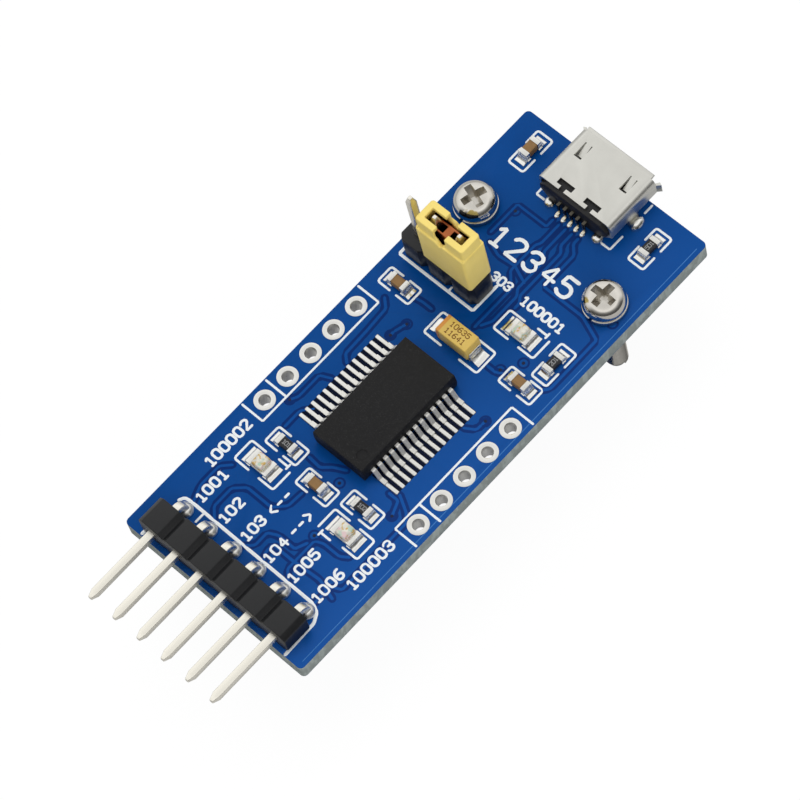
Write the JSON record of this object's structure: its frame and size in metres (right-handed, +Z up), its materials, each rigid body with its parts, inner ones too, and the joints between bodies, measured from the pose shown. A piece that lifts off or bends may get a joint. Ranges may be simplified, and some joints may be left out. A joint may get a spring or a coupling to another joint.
{
  "type": "usb to serial adapter module",
  "caption": "Small blue circuit board that turns a micro USB socket into a row of serial signal pins, with a jumper-cap voltage selector and indicator lamps.",
  "frame": {"origin": "centre of the circuit board's underside", "axes": "+Y along the board towards the USB receptacle, +Z up out of the component side, +X to the right when +Y points away, which is away from the selector with the jumper cap"},
  "size_m": [0.0186, 0.0523, 0.018],
  "materials": {
    "solder_mask": "blue solder mask over glass-fibre laminate",
    "plated_copper": "tin-plated copper",
    "solder": "bright solder",
    "strip_plastic": "black moulded plastic",
    "pin_metal": "tin-plated square wire",
    "cap_plastic": "pale yellow moulded plastic",
    "clip_metal": "plated spring sheet",
    "shell_steel": "satin nickel-plated sheet",
    "insert_plastic": "black moulded plastic",
    "chip_plastic": "black moulding compound",
    "lead_metal": "tin-plated leads",
    "resistor_glaze": "black glaze over ceramic",
    "capacitor_ceramic": "tan-brown ceramic",
    "end_metal": "tinned end caps",
    "lamp_base": "white laminate",
    "lamp_lens": "clear epoxy",
    "tantalum_plastic": "yellow moulding compound",
    "screw_metal": "bright nickel-plated steel",
    "washer_metal": "bright nickel-plated spring steel"
  },
  "bodies": {
    "root": {"capacitor_1": "capacitor_ceramic", "capacitor_2": "capacitor_ceramic", "capacitor_3": "capacitor_ceramic", "capacitor_4": "capacitor_ceramic", "capacitor_ends_1": "end_metal", "capacitor_ends_2": "end_metal", "capacitor_ends_3": "end_metal", "capacitor_ends_4": "end_metal", "chip_body": "chip_plastic", "chip_leads_left": "lead_metal", "chip_leads_right": "lead_metal", "chip_pads_left": "plated_copper", "chip_pads_right": "plated_copper", "circuit_board": "solder_mask", "component_pads": "solder", "header_block": "strip_plastic", "header_pin_1": "pin_metal", "header_pin_2": "pin_metal", "header_pin_3": "pin_metal", "header_pin_4": "pin_metal", "header_pin_5": "pin_metal", "header_pin_6": "pin_metal", "header_solder": "solder", "jumper_cap": "cap_plastic", "jumper_clip": "clip_metal", "lamp_base_1": "lamp_base", "lamp_base_2": "lamp_base", "lamp_base_3": "lamp_base", "lamp_lens_1": "lamp_lens", "lamp_lens_2": "lamp_lens", "lamp_lens_3": "lamp_lens", "lamp_terminals_1": "end_metal", "lamp_terminals_2": "end_metal", "lamp_terminals_3": "end_metal", "lock_washer_left": "washer_metal", "lock_washer_right": "washer_metal", "plated_holes_left": "plated_copper", "plated_holes_right": "plated_copper", "resistor_1": "resistor_glaze", "resistor_2": "resistor_glaze", "resistor_3": "resistor_glaze", "resistor_4": "resistor_glaze", "resistor_ends_1": "end_metal", "resistor_ends_2": "end_metal", "resistor_ends_3": "end_metal", "resistor_ends_4": "end_metal", "screw_left": "screw_metal", "screw_right": "screw_metal", "selector_block": "strip_plastic", "selector_pin_1": "pin_metal", "selector_pin_2": "pin_metal", "selector_pin_3": "pin_metal", "selector_solder": "solder", "tantalum_body": "tantalum_plastic", "tantalum_terminals": "lead_metal", "usb_contacts": "clip_metal", "usb_insert": "insert_plastic", "usb_shell": "shell_steel", "usb_solder": "solder"}
  },
  "joints": []
}
